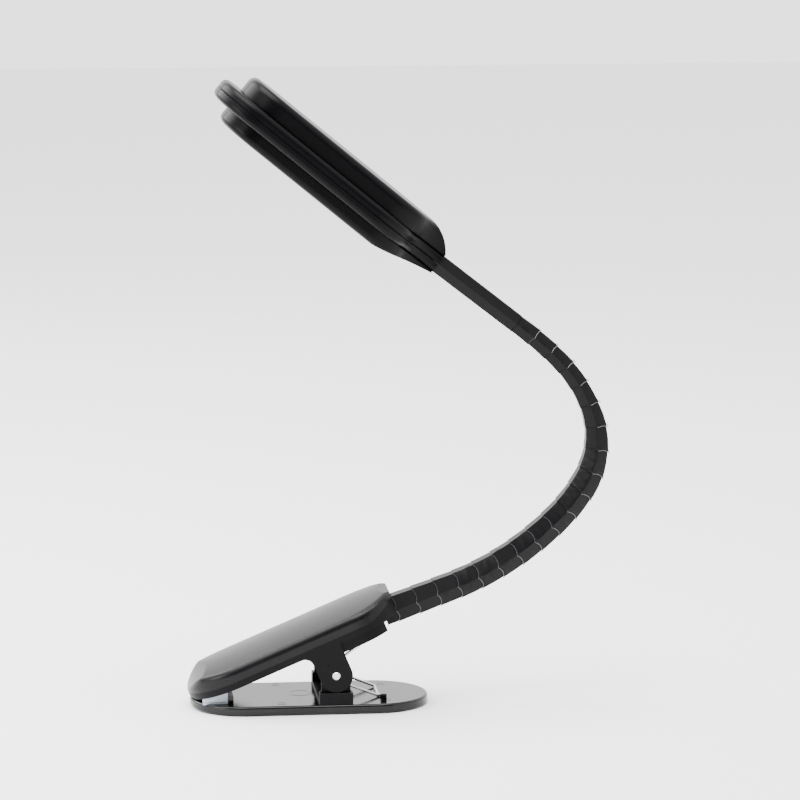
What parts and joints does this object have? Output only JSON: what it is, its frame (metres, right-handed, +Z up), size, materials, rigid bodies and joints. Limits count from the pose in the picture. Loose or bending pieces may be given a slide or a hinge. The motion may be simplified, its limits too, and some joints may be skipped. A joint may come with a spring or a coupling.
{
  "type": "clip-on reading lamp",
  "caption": "Clip-on reading lamp: a spring clip with an oval plate and an egg-shaped upper jaw, a curved neck of ball-ended links, and a long flat light head.",
  "frame": {"origin": "Middle of the lower plate's underside, where the lamp stands", "axes": "+Z up; +X from the clip's mouth towards the neck; +Y across the lamp, its plane of symmetry being Y = 0"},
  "size_m": [0.1856, 0.05, 0.2759],
  "materials": {
    "jaw_dark": "fine matt",
    "jaw_plate": "polished top",
    "jaw_cover": "satin",
    "silicone": "soft silicone",
    "steel": "drawn wire and turned pin",
    "screw": "zinc plated",
    "neck": "satin moulded",
    "head_black": "satin",
    "diffuser": "opal",
    "white": "white moulded",
    "board": "circuit board",
    "led_board": "white circuit board",
    "led": "phosphor",
    "battery": "foil pouch",
    "socket": "pressed shell",
    "nylon": "natural"
  },
  "bodies": {
    "lower_jaw": {"lower_jaw_plate": "jaw_plate", "lower_jaw_bracket": "jaw_dark", "jaw_pivot_pin": "steel", "lower_grip_pad": "silicone", "torsion_spring": "steel"},
    "upper_jaw": {"upper_jaw_base": "jaw_dark", "upper_jaw_cover": "jaw_cover", "upper_grip_pad": "silicone", "spring_upper_legs": "steel", "battery": "battery", "control_board": "board", "board_supports": "nylon", "charging_socket": "socket", "touch_plate": "nylon", "jaw_screws": "screw", "neck_collar": "neck"},
    "neck_part_1": {"neck_link_01": "neck", "neck_link_02": "neck", "neck_link_03": "neck"},
    "neck_part_2": {"neck_link_04": "neck", "neck_link_05": "neck", "neck_link_06": "neck"},
    "neck_part_3": {"neck_link_07": "neck", "neck_link_08": "neck", "neck_link_09": "neck"},
    "neck_part_4": {"neck_link_10": "neck", "neck_link_11": "neck", "neck_link_12": "neck"},
    "neck_part_5": {"neck_link_13": "neck", "neck_link_14": "neck", "neck_link_15": "neck"},
    "neck_part_6": {"neck_link_16": "neck", "neck_link_17": "neck", "neck_link_18": "neck", "neck_link_19": "neck"},
    "head": {"neck_stem": "neck", "head_frame_back": "head_black", "head_frame_front": "head_black", "head_back_cover": "head_black", "head_light_housing": "head_black", "light_diffuser": "diffuser", "light_frame_ring": "white", "led_board": "led_board", "led_chips": "led", "driver_board": "board", "head_screws": "screw"}
  },
  "joints": [
    {"name": "jaw_hinge", "type": "hinge", "parent": "lower_jaw", "child": "upper_jaw", "pos_m": [0.0103, 0, 0.0168], "axis": [0, 1, 0], "range_deg": [0, 22], "stiffness_Nm_per_rad": 0.6, "springref_deg": -60.16},
    {"name": "neck_bend_1", "type": "hinge", "parent": "upper_jaw", "child": "neck_part_1", "pos_m": [0.03236, 0, 0.04007], "axis": [0, 1, 0], "range_deg": [-14, 14]},
    {"name": "neck_sway_1", "type": "hinge", "parent": "neck_part_1", "child": "neck_part_2", "pos_m": [0.06004, 0, 0.04999], "axis": [-0.3585, 0, 0.9335], "range_deg": [-16, 16]},
    {"name": "neck_bend_2", "type": "hinge", "parent": "neck_part_2", "child": "neck_part_3", "pos_m": [0.08658, 0, 0.06249], "axis": [0, 1, 0], "range_deg": [-14, 14]},
    {"name": "neck_sway_2", "type": "hinge", "parent": "neck_part_3", "child": "neck_part_4", "pos_m": [0.10966, 0, 0.0806], "axis": [-0.7433, 0, 0.6689], "range_deg": [-16, 16]},
    {"name": "neck_bend_3", "type": "hinge", "parent": "neck_part_4", "child": "neck_part_5", "pos_m": [0.12561, 0, 0.10493], "axis": [0, 1, 0], "range_deg": [-14, 14]},
    {"name": "neck_sway_3", "type": "hinge", "parent": "neck_part_5", "child": "neck_part_6", "pos_m": [0.12265, 0, 0.13351], "axis": [-0.8704, 0, -0.4923], "range_deg": [-16, 16]},
    {"name": "neck_bend_4", "type": "hinge", "parent": "neck_part_6", "child": "head", "pos_m": [0.09736, 0, 0.16298], "axis": [0, 1, 0], "range_deg": [-14, 14]}
  ]
}
